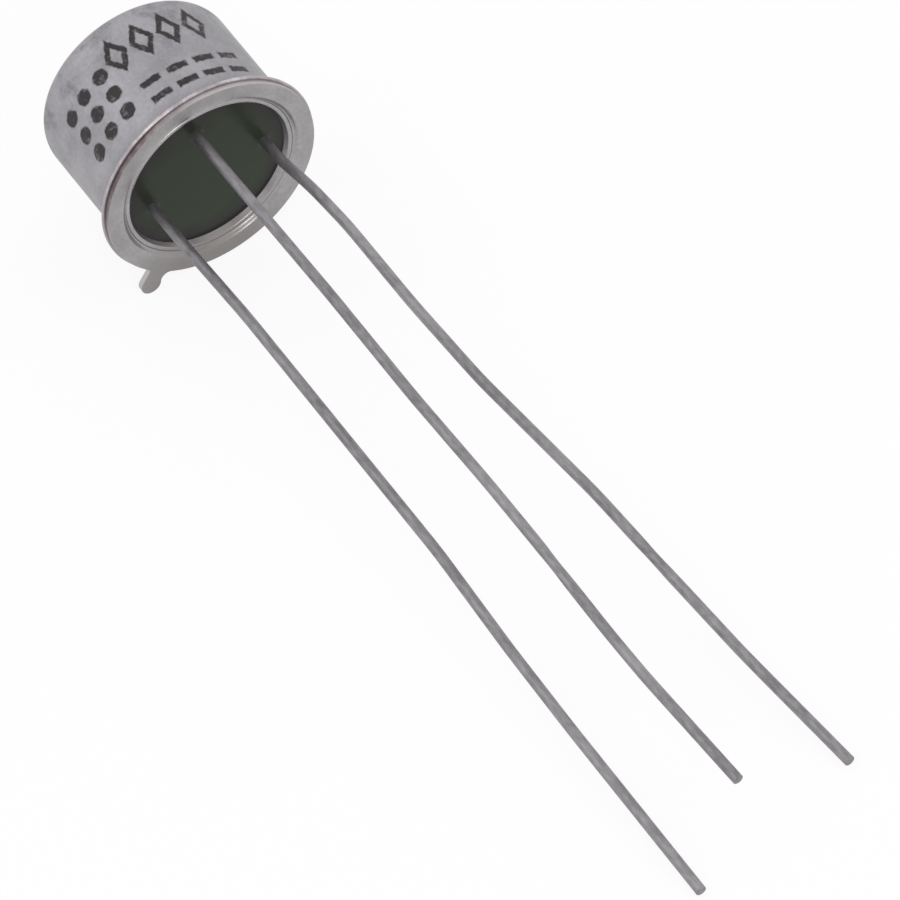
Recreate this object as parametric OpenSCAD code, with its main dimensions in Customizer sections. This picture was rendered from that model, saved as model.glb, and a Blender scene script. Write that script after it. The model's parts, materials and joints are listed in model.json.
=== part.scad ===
// Germanium transistor in a round metal can with three wire leads, lying as it comes to rest.
// Each sub-part is drawn standing: its axis on Z, the underside of the flange at z = 0, the can
// above it and the leads below. lie() then lays the whole thing on its flange, tab and lead tips.

/* [Can] */
// Outer diameter of the can's straight wall
can_d = 8.3; // [7.9:0.05:8.5]
// Height from the underside of the flange to the crown
body_h = 6.4; // [6.1:0.05:6.6]
// Outer radius of the rounded crown edge
crown_r = 1; // [0.6:0.05:1.4]
// Thickness of the can's drawn sheet
cap_t = 0.2; // [0.15:0.01:0.25]
// Outer radius of the bend from the wall to the flange
cap_bend_r = 0.15; // [0.08:0.01:0.2]

/* [Flange and tab] */
// Diameter of the header's flange
flange_d = 9.4; // [9.2:0.05:9.6]
// How much smaller the can's flange is all round
flange_step = 0.03; // [0.01:0.01:0.06]
// Thickness of the header's stamped sheet
header_t = 0.25; // [0.2:0.01:0.3]
// Width and height of the bevel on the outer edges of the two flanges
edge_bevel = 0.12; // [0.05:0.01:0.15]
// Width of the index tab's round end
tab_w = 0.86; // [0.74:0.02:0.94]
// Length of the index tab beyond the flange
tab_len = 1.01; // [0.85:0.02:1.11]
// Angle from the index tab to the emitter
tab_turn = 47; // [43:1:49]
// Radius of the wide fillet at the tab's root
tab_fillet_r = 0.35; // [0.3:0.05:0.5]
// Radius of the fillet on the tab's other side
tab_corner_r = 0.12; // [0.05:0.01:0.2]

/* [Header] */
// Gap between the header's cup and the can's wall
cup_gap = 0.08; // [0.04:0.01:0.12]
// Height of the header's platform above the underside
header_h = 1.2; // [1:0.05:1.5]
// Radius of the lip round the opening
lip_r = 0.18; // [0.12:0.01:0.22]
// Inner radius of the bend from the cup's wall to its platform
cup_bend_r = 0.15; // [0.1:0.01:0.25]
// Half width of the coined groove outside the lip
groove_r = 0.05; // [0.03:0.005:0.06]
// Depth of the coined groove
groove_depth = 0.03; // [0.015:0.005:0.03]
// Diameter of the circle that the leads stand on
lead_circle_d = 5.08; // [4.9:0.02:5.2]
// Diameter of the platform's hole round each lead
eyelet_d = 1.3; // [1.1:0.05:1.4]
// Depth of the glass below the underside of the flange
glass_depth = 0.2; // [0.18:0.01:0.3]
// Height that the glass climbs at the leads
meniscus = 0.07; // [0.04:0.01:0.1]

/* [Leads] */
// Diameter of the leads
lead_d = 0.43; // [0.41:0.01:0.48]
// Reach of the emitter lead below the flange
emitter_len = 39.4; // [36:0.1:42]
// Reach of the base lead below the flange
base_len = 37.4; // [36:0.1:42]
// Reach of the collector lead below the flange
collector_len = 37.3; // [36:0.1:42]
// How far the emitter lead's tip leans to its side
emitter_lean = -0.3; // [-0.5:0.05:0]
// How far the base lead's tip leans to its side
base_lean = 0.47; // [0.2:0.01:0.7]
// How far the base lead's tip dips
base_dip = 0.55; // [0.3:0.05:0.8]
// How far the collector lead's tip leans to its side
collector_lean = 2.45; // [2.1:0.05:2.8]
// Radius of the gentle bends in the leads
bend_r = 8; // [5:0.5:9]

/* [Junction] */
// Height of the wafer's centre above the underside
junction_h = 3.5; // [3.3:0.05:3.7]
// Diameter of the germanium wafer
wafer_d = 2.2; // [2:0.05:2.4]
// Thickness of the germanium wafer
wafer_t = 0.13; // [0.1:0.01:0.18]
// Diameter of the emitter's indium dot
emitter_dot_d = 0.6; // [0.5:0.05:0.7]
// Diameter of the collector's indium dot
collector_dot_d = 1.1; // [0.9:0.05:1.3]
// Height of a dot as a share of its radius
dot_rise = 0.6; // [0.4:0.05:0.8]
// Thickness of the nickel base tab
base_tab_t = 0.15; // [0.1:0.01:0.2]
// Width of the base tab's ring round its hole
base_ring_w = 0.75; // [0.6:0.05:0.9]
// Diameter of the hole in the base tab
base_hole_d = 1.5; // [1.2:0.05:1.6]
// Width of the base tab's arm
base_arm_w = 1; // [0.8:0.05:1.2]
// How far below the wafer's centre the base tab's arm and its post end
base_arm_drop = 0.5; // [0.3:0.05:0.7]
// Width of the solder fillet round the wafer
solder_w = 0.13; // [0.08:0.01:0.16]
// Diameter of the whiskers to the dots
whisker_d = 0.14; // [0.1:0.01:0.18]
// Depth of the welding flat on each post
post_flat = 0.05; // [0.03:0.01:0.07]
// How far the posts of the emitter and collector rise past the weld
post_past = 0.25; // [0.1:0.05:0.4]
// Length of whisker that is welded along a post
weld_len = 0.7; // [0.5:0.05:0.9]
// Depth that a whisker sinks into its dot
whisker_sink = 0.08; // [0.04:0.01:0.1]
// Radius of the bends in the whiskers
whisker_bend_r = 0.3; // [0.2:0.02:0.36]
// Rise of a whisker above its dot where it leaves the post
whisker_bow = 0.25; // [0.1:0.05:0.4]

/* [Hidden] */
$fn = 64;

can_r = can_d / 2;
flange_r = flange_d / 2;
cap_flange_r = flange_r - flange_step;
cap_inner_r = can_r - cap_t;
cup_outer_r = cap_inner_r - cup_gap;
opening_r = cup_outer_r - header_t;
platform_z = header_h - header_t;
lip_edge_r = opening_r + lip_r;
groove_centre_r = lip_edge_r + groove_r;
lead_r = lead_d / 2;
lead_circle_r = lead_circle_d / 2;

// Tab: its round end reaches tab_len past the flange.
tab_end_r = tab_w / 2;
tab_centre_r = flange_r + tab_len - tab_end_r;
// Turned so that the flange and the tab's round end touch the surface together.
tab_from_below = acos((flange_r - tab_end_r) / tab_centre_r);
tab_angle = 180 + tab_from_below;
emitter_angle = tab_angle + tab_turn;
base_angle = emitter_angle + 90;
collector_angle = emitter_angle + 180;

// Lying: X is up and Y is sideways while the part is still standing on paper.
function on_circle(angle) = [lead_circle_r * cos(angle), lead_circle_r * sin(angle)];
emitter_root = on_circle(emitter_angle);
base_root = on_circle(base_angle);
collector_root = on_circle(collector_angle);
// The tilt at which the tab's edge and the tip of the emitter lead share one level.
tilt = atan((flange_r + emitter_root[0] - lead_r) / emitter_len);
floor_drop = flange_r * cos(tilt);
// The collector lead leans down until its tip meets the same level.
collector_dip = collector_root[0] - lead_r
    - (collector_len * sin(tilt) - floor_drop) / cos(tilt);

// Bends: [distance below the flange, lean to the side].
EMITTER_BENDS = [[1.5, 0], [6.5, 0.15], [20.5, 0.11], [26, -0.13], [30.5, -0.23]];
BASE_BENDS = [[1.5, -0.03], [9.5, 0.1], [15.5, 0.1], [20.5, 0.22], [24, 0.235], [29, 0.175],
              [31.5, 0.2]];
COLLECTOR_BENDS = [[0.8, 0], [2.8, 0.31], [5.2, 0.475], [10, 0.51], [14.5, 0.69],
                   [21.5, 1.37], [26, 1.6], [31, 1.89]];

// A lead's corner points, from its inner end to its tip.
function lead_points(root, top, bends, length, lean, dip) = concat(
    [[root[0], root[1], top]],
    [for (b = bends) [root[0] - dip * b[0] / length, root[1] + b[1], -b[0]]],
    [[root[0] - dip, root[1] + lean, -length]]);

// The junction stands upright in the plane through the base lead and the axis.
plate_near = -(lead_r - post_flat);
plate_far = plate_near - base_tab_t;
wafer_far = plate_near + wafer_t;
ring_r = base_hole_d / 2 + base_ring_w;
base_post_top = junction_h - base_arm_drop;
arm_bottom = base_post_top - base_arm_w;
post_top = junction_h + post_past;
post_face = lead_circle_r - lead_r + post_flat;
emitter_apex = -plate_near + emitter_dot_d / 2 * dot_rise;
collector_apex = wafer_far + collector_dot_d / 2 * dot_rise;

// Overshoot of a cut past the face that it opens.
margin = 0.1;
// How far a fillet bites into the rim that it runs out on.
fillet_bite = 0.01;
// Straight pieces of a round bend, and how far its knuckles stand proud of the wire.
bend_steps = 2;
knuckle_over = 0.01;

function unit(v) = v / norm(v);

// ---- helpers ----------------------------------------------------------------------------

// A quarter of a ring in the section plane: inner radius r, wall t, first edge at angle a.
module quarter_ring(r, t, a) {
    intersection() {
        difference() {
            circle(r + t);
            circle(r);
        }
        rotate(a) square(r + t + margin);
    }
}

// What has to be cut from a square corner to round it: the corner is at the origin, the
// material lies on the side of positive x and y.
module corner_cut(r) {
    difference() {
        translate([-margin, -margin]) square(r + margin);
        translate([r, r]) circle(r);
    }
}

// What a bevel takes from a flange's outer edge: a square on its corner.
module bevel_cut() {
    rotate(45) square(edge_bevel * sqrt(2), center = true);
}

// A straight round stretch between two points.
module rod(a, b, r) {
    d = b - a;
    translate(a)
        rotate([0, acos(d[2] / norm(d)), atan2(d[1], d[0])])
            cylinder(h = norm(d), r = r);
}

// The corner i of a wire's points, replaced by points on a round bend of radius r.
function bend_points(p, i, r) =
    let (a = unit(p[i] - p[i - 1]),
         b = unit(p[i + 1] - p[i]),
         turn = acos(a * b),
         inward = unit(b - a * (a * b)),
         start = p[i] - a * r * tan(turn / 2))
    [for (k = [0 : bend_steps])
        let (t = turn * k / bend_steps)
        start + a * r * sin(t) + inward * r * (1 - cos(t))];

// A wire through the points with round bends: straight rods that end inside small knuckles.
module wire(corners, wire_r, r) {
    last = len(corners) - 1;
    p = concat([corners[0]],
               [for (i = [1 : last - 1]) each bend_points(corners, i, r)],
               [corners[last]]);
    for (i = [0 : len(p) - 2]) {
        d = unit(p[i + 1] - p[i]);
        from = i == 0 ? p[i] : p[i] + d * knuckle_over;
        to = i == len(p) - 2 ? p[i + 1] : p[i + 1] - d * knuckle_over;
        rod(from, to, wire_r);
    }
    for (i = [1 : len(p) - 2]) translate(p[i]) sphere(wire_r + knuckle_over);
}

// Lays the standing part down, with its footprint centred on the origin and its lowest
// edges at z = 0.
x_far = emitter_len * cos(tilt) + emitter_root[0] * sin(tilt) + lead_r * sin(tilt);
x_near = -(body_h - crown_r) * cos(tilt) - (can_r - crown_r) * sin(tilt) - crown_r;
y_far = collector_root[1] + collector_lean + lead_r;
y_near = -flange_r;

module lie() {
    translate([-(x_far + x_near) / 2, -(y_far + y_near) / 2, floor_drop])
        rotate([0, tilt - 90, 0])
            children();
}

// Puts the junction's own frame in place: X to the base post, Y to the collector post.
module at_junction() {
    rotate(base_angle) translate([0, 0, junction_h]) children();
}

// The plan of the index tab along X. A fillet leads from the flange's rim into each side: a
// tight one into the straight side, and a wide one that runs on into the round end.
module tab_plan() {
    inside = flange_r - edge_bevel - margin;
    corner_reach = flange_r + tab_corner_r - fillet_bite;
    corner_y = tab_end_r + tab_corner_r;
    corner_x = sqrt(corner_reach ^ 2 - corner_y ^ 2);
    wide_reach = flange_r + tab_fillet_r - fillet_bite;
    end_reach = tab_end_r + tab_fillet_r - fillet_bite;
    wide_x = (wide_reach ^ 2 - end_reach ^ 2 + tab_centre_r ^ 2) / (2 * tab_centre_r);
    wide_y = -sqrt(wide_reach ^ 2 - wide_x ^ 2);
    translate([tab_centre_r, 0]) circle(tab_end_r);
    translate([inside, -margin]) square([tab_centre_r - inside, tab_end_r + margin]);
    root_fillet([corner_x, corner_y], tab_corner_r, corner_x);
    root_fillet([wide_x, wide_y], tab_fillet_r, tab_centre_r);
}

// Fills the hollow corner between the rim and the tab, out to x = far, round a fillet's centre.
module root_fillet(centre, r, far) {
    foot = centre * (flange_r - edge_bevel - margin) / norm(centre);
    difference() {
        polygon([[foot[0], 0], foot, centre, [far, 0]]);
        translate(centre) circle(r);
    }
}

// A low dome on a face: base radius a, height a * dot_rise, with a pit for the whisker.
module dot(a) {
    h = a * dot_rise;
    ball = (a * a + h * h) / (2 * h);
    difference() {
        rotate_extrude()
            intersection() {
                translate([0, h - ball]) circle(ball);
                square([a, h]);
            }
        translate([0, 0, h - whisker_sink]) cylinder(h = whisker_sink + margin, d = whisker_d);
    }
}

// A whisker from the flat of a post at -Y to a dot whose top is at distance apex from the axis.
module whisker(apex) {
    along_post = -post_face + whisker_d / 2;
    wire([[0, along_post, -weld_len],
          [0, along_post, whisker_bow],
          [0, -apex - whisker_bend_r, 0],
          [0, -apex + whisker_sink, 0]],
         whisker_d / 2, whisker_bend_r);
}

// The space that a welding flat takes from a post at -Y, seen in the junction's frame.
module flat_cut(low, high, face) {
    translate([-lead_r - margin, face, low])
        cube([lead_d + 2 * margin, lead_d, high - low + margin]);
}

// ---- the can ----------------------------------------------------------------------------

// Drawn steel cup with a rounded crown; its flange is welded to the header's.
module cap() {
    wall_low = header_t + cap_t + cap_bend_r;
    color("silver") lie()
        rotate_extrude() {
            translate([0, body_h - cap_t]) square([can_r - crown_r, cap_t]);
            translate([can_r - crown_r, body_h - crown_r])
                quarter_ring(crown_r - cap_t, cap_t, 0);
            translate([cap_inner_r, wall_low]) square([cap_t, body_h - crown_r - wall_low]);
            translate([can_r + cap_bend_r, wall_low]) quarter_ring(cap_bend_r, cap_t, 180);
            difference() {
                translate([can_r + cap_bend_r, header_t])
                    square([cap_flange_r - can_r - cap_bend_r, cap_t]);
                translate([cap_flange_r, header_t + cap_t]) bevel_cut();
            }
        }
}

// ---- the header -------------------------------------------------------------------------

module at_leads() {
    for (a = [emitter_angle, base_angle, collector_angle])
        rotate(a) translate([lead_circle_r, 0, 0]) children();
}

// Stamped cup: flange with the index tab, rounded lip, wall and a platform with three holes.
module header_eyelet() {
    groove_ball_r = (groove_r ^ 2 + groove_depth ^ 2) / (2 * groove_depth);
    color("lightsteelblue") lie()
        difference() {
            union() {
                rotate_extrude() {
                    difference() {
                        translate([opening_r, 0]) square([flange_r - opening_r, header_t]);
                        translate([opening_r, 0]) corner_cut(lip_r);
                        translate([flange_r, 0]) bevel_cut();
                        translate([groove_centre_r, groove_depth - groove_ball_r])
                            circle(groove_ball_r);
                    }
                    translate([opening_r, header_t])
                        square([header_t, platform_z - cup_bend_r - header_t]);
                    translate([opening_r - cup_bend_r, platform_z - cup_bend_r])
                        quarter_ring(cup_bend_r, header_t, 0);
                    translate([0, platform_z]) square([opening_r - cup_bend_r, header_t]);
                }
                rotate(tab_angle) linear_extrude(header_t) tab_plan();
            }
            at_leads() translate([0, 0, platform_z - margin])
                cylinder(h = header_t + 2 * margin, d = eyelet_d);
        }
}

// Dark green glass that fills the header's cup and seals the three leads.
module header_glass() {
    color("darkgreen") lie()
        difference() {
            union() {
                rotate_extrude()
                    difference() {
                        translate([0, glass_depth])
                            square([opening_r, platform_z - glass_depth]);
                        translate([opening_r, platform_z]) rotate(180) corner_cut(cup_bend_r);
                    }
                at_leads() cylinder_between(platform_z, header_h, eyelet_d / 2);
                at_leads()
                    translate([0, 0, glass_depth - meniscus])
                        rotate_extrude()
                            difference() {
                                square([lead_r + meniscus, meniscus]);
                                translate([lead_r + meniscus, 0]) circle(meniscus);
                            }
            }
            at_leads() cylinder_between(-margin, header_h + margin, lead_r);
        }
}

module cylinder_between(low, high, r) {
    translate([0, 0, low]) cylinder(h = high - low, r = r);
}

// ---- the leads --------------------------------------------------------------------------

module emitter_lead() {
    color("dimgray") lie()
        difference() {
            wire(lead_points(emitter_root, post_top, EMITTER_BENDS,
                             emitter_len, emitter_lean, 0), lead_r, bend_r);
            at_junction() flat_cut(-weld_len, post_past, -post_face);
        }
}

module base_lead() {
    color("gray") lie()
        difference() {
            wire(lead_points(base_root, base_post_top, BASE_BENDS,
                             base_len, base_lean, base_dip), lead_r, bend_r);
            at_junction()
                translate([lead_circle_r, 0, 0])
                    flat_cut(arm_bottom - junction_h, base_post_top - junction_h,
                             plate_near - lead_d);
        }
}

module collector_lead() {
    color("dimgray") lie()
        difference() {
            wire(lead_points(collector_root, post_top, COLLECTOR_BENDS,
                             collector_len, collector_lean, collector_dip), lead_r, bend_r);
            at_junction() mirror([0, 1, 0]) flat_cut(-weld_len, post_past, -post_face);
        }
}

// ---- the junction -----------------------------------------------------------------------

// Nickel plate, welded to the flat of the base post, with a hole behind the emitter's dot.
module base_tab() {
    color("lightgray") lie() at_junction()
        translate([0, plate_near, 0])
            rotate([90, 0, 0])
                linear_extrude(base_tab_t)
                    difference() {
                        union() {
                            circle(ring_r);
                            translate([0, arm_bottom - junction_h])
                                square([lead_circle_r + lead_r, base_arm_w]);
                        }
                        circle(d = base_hole_d);
                    }
}

// Thin disc of germanium on the collector's side of the plate.
module germanium_wafer() {
    color("slategray") lie() at_junction()
        translate([0, plate_near, 0])
            rotate([-90, 0, 0])
                cylinder(h = wafer_t, d = wafer_d);
}

// Ring of solder between the wafer's edge and the plate.
module base_solder() {
    color("gainsboro") lie() at_junction()
        translate([0, plate_near, 0])
            rotate([-90, 0, 0])
                rotate_extrude()
                    polygon([[wafer_d / 2, 0],
                             [wafer_d / 2 + solder_w, 0],
                             [wafer_d / 2, wafer_t]]);
}

module emitter_dot() {
    color("whitesmoke") lie() at_junction()
        translate([0, plate_near, 0]) rotate([90, 0, 0]) dot(emitter_dot_d / 2);
}

module collector_dot() {
    color("whitesmoke") lie() at_junction()
        translate([0, wafer_far, 0]) rotate([-90, 0, 0]) dot(collector_dot_d / 2);
}

module emitter_whisker() {
    color("goldenrod") lie() at_junction() whisker(emitter_apex);
}

module collector_whisker() {
    color("goldenrod") lie() at_junction() mirror([0, 1, 0]) whisker(collector_apex);
}

cap();
header_eyelet();
header_glass();
emitter_lead();
base_lead();
collector_lead();
base_tab();
base_solder();
germanium_wafer();
emitter_dot();
collector_dot();
emitter_whisker();
collector_whisker();
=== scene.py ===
# %% [markdown]
# # A germanium transistor in a metal can
#
# The part is a small drawn steel can, welded by its flange to a stamped header. Dark green glass
# fills the header, and three wires come out through it. It lies on its side on a table. This
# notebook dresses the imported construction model: it builds finer meshes of the pieces that show,
# gives each one the finish of its real material, and lights the part softly on a pale table.

import json
import math

import bmesh
import bpy
from mathutils import Matrix, Vector


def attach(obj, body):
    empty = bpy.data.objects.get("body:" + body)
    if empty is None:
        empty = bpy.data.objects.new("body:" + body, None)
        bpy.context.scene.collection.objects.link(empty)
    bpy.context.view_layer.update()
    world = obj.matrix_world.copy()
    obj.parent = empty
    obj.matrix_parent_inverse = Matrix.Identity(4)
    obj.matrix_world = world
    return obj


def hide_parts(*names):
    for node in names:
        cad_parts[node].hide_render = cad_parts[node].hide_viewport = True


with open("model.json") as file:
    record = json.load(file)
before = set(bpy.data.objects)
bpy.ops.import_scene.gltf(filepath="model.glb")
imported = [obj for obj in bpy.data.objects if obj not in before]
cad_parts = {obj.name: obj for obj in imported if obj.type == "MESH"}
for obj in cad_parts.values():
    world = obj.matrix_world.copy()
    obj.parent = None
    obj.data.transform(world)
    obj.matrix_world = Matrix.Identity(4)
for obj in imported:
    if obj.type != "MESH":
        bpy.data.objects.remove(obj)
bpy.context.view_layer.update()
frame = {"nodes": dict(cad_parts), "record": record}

# %% [markdown]
# ## Where the part lies
#
# All sizes below are in millimetres, in the part's own standing frame: Z runs along the can with
# the flange's underside at zero, and X is the direction that ends up on top. The record's mounts
# say how the part lies, so one matrix takes a finished mesh from the standing frame to its place.

# %% The standing frame
MM = 0.001
BODY_H = 6.4

mounts = {mount["name"]: mount for mount in frame["record"]["mounts"]}
can_axis = Vector(mounts["crown_face"]["axis"]).normalized()
sideways = Vector((0, 1, 0))
upwards = sideways.cross(can_axis)
flange_centre = Vector(mounts["crown_face"]["pos_m"]) - can_axis * BODY_H * MM

LIE = Matrix.Translation(flange_centre) @ Matrix((
    (upwards.x, sideways.x, can_axis.x),
    (upwards.y, sideways.y, can_axis.y),
    (upwards.z, sideways.z, can_axis.z),
)).to_4x4() @ Matrix.Scale(MM, 4)
print("flange centre, mm:", [round(v / MM, 3) for v in flange_centre])

# %% [markdown]
# ## The camera
#
# The camera looks down at the table from the side of the leads with a long lens, so the parallel
# wires hardly converge. It is rolled a little, which brings the can into the upper left corner.

# %% The camera
VIEW_TARGET = Vector((-2.178, 1.417, 0.0)) * MM
VIEW_DISTANCE = 394.6 * MM
VIEW_AZIMUTH = math.radians(-24.68)
VIEW_ELEVATION = math.radians(44.80)
VIEW_ROLL = math.radians(-9.26)
LENS = 416

camera_data = bpy.data.cameras.new("camera")
camera_data.lens = LENS
camera_data.sensor_width = 36
camera_data.clip_start = 0.01
camera_data.clip_end = 10
camera = bpy.data.objects.new("camera", camera_data)
bpy.context.scene.collection.objects.link(camera)
bpy.context.scene.camera = camera

to_camera = Vector((
    math.cos(VIEW_ELEVATION) * math.cos(VIEW_AZIMUTH),
    math.cos(VIEW_ELEVATION) * math.sin(VIEW_AZIMUTH),
    math.sin(VIEW_ELEVATION),
))
camera.matrix_world = (
    Matrix.Translation(VIEW_TARGET + to_camera * VIEW_DISTANCE)
    @ to_camera.to_track_quat("Z", "Y").to_matrix().to_4x4()
    @ Matrix.Rotation(VIEW_ROLL, 4, "Z")
)
print("camera, mm:", [round(v / MM, 1) for v in camera.matrix_world.translation])

# %% [markdown]
# ## Helpers for colours and nodes
#
# Colours are written as sRGB hex values, the way a colour picker shows them, and one function
# turns them to the linear values that the shader works with. A second function adds a node, sets
# its properties, and fills its inputs with values or with links from other nodes. An input is
# named as the editor names it, or numbered where several inputs share a name.

# %% Colour and node helpers
def linear(hex_colour):
    """The linear RGBA of an sRGB hex colour."""
    def channel(value):
        value /= 255
        return value / 12.92 if value <= 0.04045 else ((value + 0.055) / 1.055) ** 2.4
    parts = [int(hex_colour[i:i + 2], 16) for i in (1, 3, 5)]
    return (*(channel(part) for part in parts), 1.0)


def add(tree, kind, inputs=None, **settings):
    """Adds a node. An input's value is a number, a colour, a node or an output of a node."""
    node = tree.nodes.new("ShaderNode" + kind)
    for name, value in settings.items():
        setattr(node, name, value)
    for key, value in (inputs or {}).items():
        socket = node.inputs[key] if isinstance(key, int) else next(
            s for s in node.inputs if s.enabled and s.name == key)
        if isinstance(value, bpy.types.Node):
            value = next(s for s in value.outputs if s.enabled)
        if isinstance(value, bpy.types.NodeSocket):
            tree.links.new(value, socket)
        else:
            socket.default_value = value
    return node


def new_material(name):
    """An empty material and its node tree."""
    material = bpy.data.materials.new(name)
    material.use_nodes = True
    material.node_tree.nodes.clear()
    return material, material.node_tree


print("helpers ready; mid grey is", [round(v, 3) for v in linear("#808080")[:3]])

# %% [markdown]
# ## Patterns in the part's own frame
#
# Object coordinates are in metres and lie askew to the can. A mapping node turns them back into
# the standing frame in millimetres, so that a pattern's scale can be read as a real size. Round
# the can, a place is best told by its distance from the axis, its angle and its height, and a
# second function works those out.

# %% Standing coordinates for patterns
def standing_mm(tree):
    """Object coordinates as millimetres in the standing frame."""
    location, rotation, scale = LIE.inverted().decompose()
    return add(tree, "Mapping", {
        "Vector": add(tree, "TexCoord").outputs["Object"],
        "Location": location,
        "Rotation": rotation.to_euler("XYZ"),
        "Scale": scale,
    })


def round_places(tree, place):
    """The distance from the can's axis, the angle in radians and the height of a place."""
    axes = add(tree, "SeparateXYZ", {"Vector": place})
    flat = add(tree, "CombineXYZ", {"X": axes.outputs["X"], "Y": axes.outputs["Y"]})
    radius = add(tree, "VectorMath", {0: flat}, operation="LENGTH").outputs["Value"]
    angle = add(tree, "Math", {0: axes.outputs["Y"], 1: axes.outputs["X"]}, operation="ARCTAN2")
    return radius, angle, axes.outputs["Z"]


along = LIE.to_3x3() @ Vector((0, 0, 1))
print("one millimetre along the can, in metres:", round(along.length, 6))

# %% [markdown]
# ## Bodies of revolution
#
# The can, the header's cup and the glass are all turned shapes. Each starts as a chain of points
# in the section plane, radius against height, and one spin makes the surface. Round stretches of
# the section are arcs, worked out from a centre and a radius.

# %% Sections and spins
SEGMENTS = 240
MERGE_MM = 1e-4
SMOOTH_UP_TO = math.radians(40)


def arc(centre, radius, start, stop, steps):
    """Points on an arc from one angle to another, in degrees, both ends included."""
    angles = [math.radians(start + (stop - start) * i / steps) for i in range(steps + 1)]
    return [(centre[0] + radius * math.cos(a), centre[1] + radius * math.sin(a)) for a in angles]


def spin_section(bm, points):
    """Turns a section of (radius, height) points about Z into a surface of revolution."""
    verts = [bm.verts.new((radius, 0, height)) for radius, height in points]
    edges = [bm.edges.new(pair) for pair in zip(verts, verts[1:])]
    bmesh.ops.spin(
        bm, geom=verts + edges, cent=(0, 0, 0), axis=(0, 0, 1), dvec=(0, 0, 0),
        angle=2 * math.pi, steps=SEGMENTS, use_merge=True, use_duplicate=False)


def finish_piece(bm, name, nodes, material):
    """Closes a standing mesh in mm, lays it in its place and hangs it on the frame."""
    bmesh.ops.remove_doubles(bm, verts=bm.verts, dist=MERGE_MM)
    bmesh.ops.recalc_face_normals(bm, faces=bm.faces)
    for face in bm.faces:
        face.smooth = True
    bmesh.ops.transform(bm, matrix=LIE, verts=bm.verts)
    open_edges = sum(not edge.is_manifold for edge in bm.edges)
    mesh = bpy.data.meshes.new(name)
    bm.to_mesh(mesh)
    bm.free()
    piece = bpy.data.objects.new(name, mesh)
    bpy.context.scene.collection.objects.link(piece)
    mesh.materials.append(material)
    mesh.set_sharp_from_angle(angle=SMOOTH_UP_TO)
    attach(piece, "root")
    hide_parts(*nodes)
    print(f"{name}: {len(mesh.polygons)} faces, {open_edges} open edges")


print("a full turn has", SEGMENTS, "steps")

# %% [markdown]
# ## Satin plate
#
# The can and the header are plated steel, dull from tumbling and from years in a drawer. Fine
# grain and soft stains of a millimetre or two break up the tone. The plate is a rough metal, so
# the white tent around it shows as an even pale grey. The pattern is shared by both pieces, and
# each finish gives it its own two colours. The real grain is finer than a picture of the whole
# part can show, so it is drawn coarser.

# %% The shared pattern of the plate
STAIN_MM = 1.9
GRAIN_MM = 0.16
GRAIN_SHARE = 0.3


def plate_colour(tree, place, dark, light):
    """The stains and the grain of tumbled plate, between two hex colours."""
    stains = add(tree, "TexNoise", {
        "Vector": place, "Scale": 1 / STAIN_MM, "Detail": 5.0, "Roughness": 0.6})
    grain = add(tree, "TexNoise", {
        "Vector": place, "Scale": 1 / GRAIN_MM, "Detail": 2.0, "Roughness": 0.5})
    mixed = add(tree, "Mix", {"Factor": GRAIN_SHARE, "A": stains, "B": grain}, data_type="FLOAT")
    tone = add(tree, "MapRange", {"Value": mixed, "From Min": 0.38, "From Max": 0.62})
    return add(tree, "Mix", {"Factor": tone, "A": linear(dark), "B": linear(light)},
               data_type="RGBA")


print("stains and grain, mm:", STAIN_MM, GRAIN_MM)

# %% [markdown]
# ## Stamped ink
#
# Such a can is stamped by a rubber pad in dark brown ink, which takes badly on metal: edges are
# ragged and the strokes are patchy. Here the stamp is a plain code of dots, lozenges and dashes
# that says nothing. Each mark is a distance on the unrolled wall, negative inside the mark, and
# wrapping the distance along the wall repeats it at an even pitch. Past a row's ends a large
# value is added, so that no mark shows there. A row is told by its first mark's place along the
# wall, its pitch, its number of marks, its height and their shape.

# %% The stamped marks
CAN_R = 4.15
DOT_R = 0.36
LOZENGE_HALF_W = 0.40
LOZENGE_SLIM = 0.56
LOZENGE_STROKE = 0.14
DASH_HALF_LEN = 0.44
DASH_HALF_W = 0.17
DASH_OFFSET = 0.42
FAR_OFF = 9.0
MARK_ROWS = [
    (-4.45, 1.04, 3, 4.04, "dots"),
    (-4.45, 1.04, 3, 3.00, "dots"),
    (-4.45, 1.04, 3, 1.96, "dots"),
    (-1.38, 1.18, 4, 4.28, "lozenges"),
    (-0.95, 1.18, 4, 1.90, "dashes"),
]


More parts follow.
